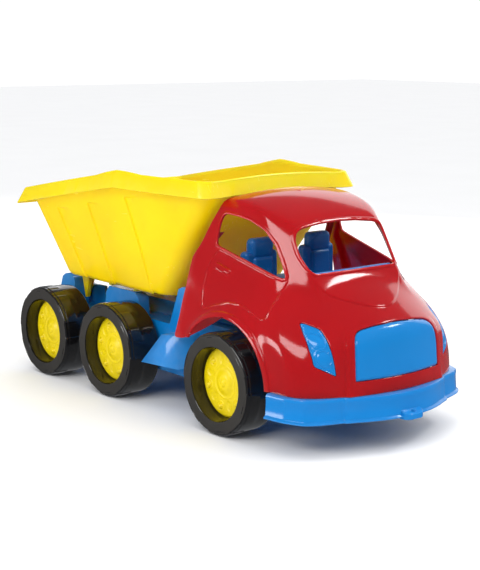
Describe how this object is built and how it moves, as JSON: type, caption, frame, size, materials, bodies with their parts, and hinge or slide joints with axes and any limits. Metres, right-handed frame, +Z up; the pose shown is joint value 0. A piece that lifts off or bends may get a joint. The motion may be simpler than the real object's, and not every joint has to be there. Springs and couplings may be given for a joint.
{
  "type": "push along truck",
  "caption": "Large push-along toy tipper truck in moulded plastic, with an open cab with seats, a tilting load bed and free-rolling wheels on three axles.",
  "frame": {"origin": "on the ground under the middle of the overall length and width", "axes": "+X towards the front bumper, +Y towards the truck's left side, +Z up"},
  "size_m": [0.832, 0.3792, 0.3886],
  "materials": {
    "red_cab": "glossy injection-moulded red plastic",
    "yellow_tipper": "glossy smooth yellow plastic",
    "yellow_hub": "glossy yellow plastic",
    "blue_chassis": "glossy blue plastic",
    "blue_interior": "glossy blue plastic",
    "blue_trim": "glossy blue plastic",
    "blue_bumper": "glossy blue plastic",
    "black_tyre": "glossy black hard plastic, satin side faces",
    "steel": "bright drawn steel"
  },
  "bodies": {
    "truck": {"chassis": "blue_chassis", "cab_shell": "red_cab", "cabin_interior": "blue_interior", "grille_panel": "blue_trim", "headlight_right": "blue_trim", "headlight_left": "blue_trim", "front_bumper": "blue_bumper", "cab_screw_right": "steel", "cab_screw_left": "steel", "hinge_pin_right": "blue_chassis", "hinge_pin_left": "blue_chassis", "axle_rear": "steel", "axle_retainer_rear_right": "steel", "axle_retainer_rear_left": "steel", "axle_middle": "steel", "axle_retainer_middle_right": "steel", "axle_retainer_middle_left": "steel", "axle_front": "steel", "axle_retainer_front_right": "steel", "axle_retainer_front_left": "steel"},
    "tipper": {"tipper_bed": "yellow_tipper"},
    "wheel_rear_right": {"tyre_rear_right": "black_tyre", "hub_cap_rear_right": "yellow_hub"},
    "wheel_rear_left": {"tyre_rear_left": "black_tyre", "hub_cap_rear_left": "yellow_hub"},
    "wheel_middle_right": {"tyre_middle_right": "black_tyre", "hub_cap_middle_right": "yellow_hub"},
    "wheel_middle_left": {"tyre_middle_left": "black_tyre", "hub_cap_middle_left": "yellow_hub"},
    "wheel_front_right": {"tyre_front_right": "black_tyre", "hub_cap_front_right": "yellow_hub"},
    "wheel_front_left": {"tyre_front_left": "black_tyre", "hub_cap_front_left": "yellow_hub"}
  },
  "joints": [
    {"name": "tipper_tilt", "type": "hinge", "parent": "truck", "child": "tipper", "pos_m": [-0.356, 0, 0.134], "axis": [0, -1, 0], "range_deg": [0, 50]},
    {"name": "wheel_rear_right_spin", "type": "hinge", "parent": "truck", "child": "wheel_rear_right", "pos_m": [-0.3297, -0.156, 0.08], "axis": [0, 1, 0], "continuous": true},
    {"name": "wheel_rear_left_spin", "type": "hinge", "parent": "truck", "child": "wheel_rear_left", "pos_m": [-0.3297, 0.156, 0.08], "axis": [0, 1, 0], "continuous": true},
    {"name": "wheel_middle_right_spin", "type": "hinge", "parent": "truck", "child": "wheel_middle_right", "pos_m": [-0.1318, -0.156, 0.08], "axis": [0, 1, 0], "continuous": true},
    {"name": "wheel_middle_left_spin", "type": "hinge", "parent": "truck", "child": "wheel_middle_left", "pos_m": [-0.1318, 0.156, 0.08], "axis": [0, 1, 0], "continuous": true},
    {"name": "wheel_front_right_spin", "type": "hinge", "parent": "truck", "child": "wheel_front_right", "pos_m": [0.1693, -0.156, 0.08], "axis": [0, 1, 0], "continuous": true},
    {"name": "wheel_front_left_spin", "type": "hinge", "parent": "truck", "child": "wheel_front_left", "pos_m": [0.1693, 0.156, 0.08], "axis": [0, 1, 0], "continuous": true}
  ]
}
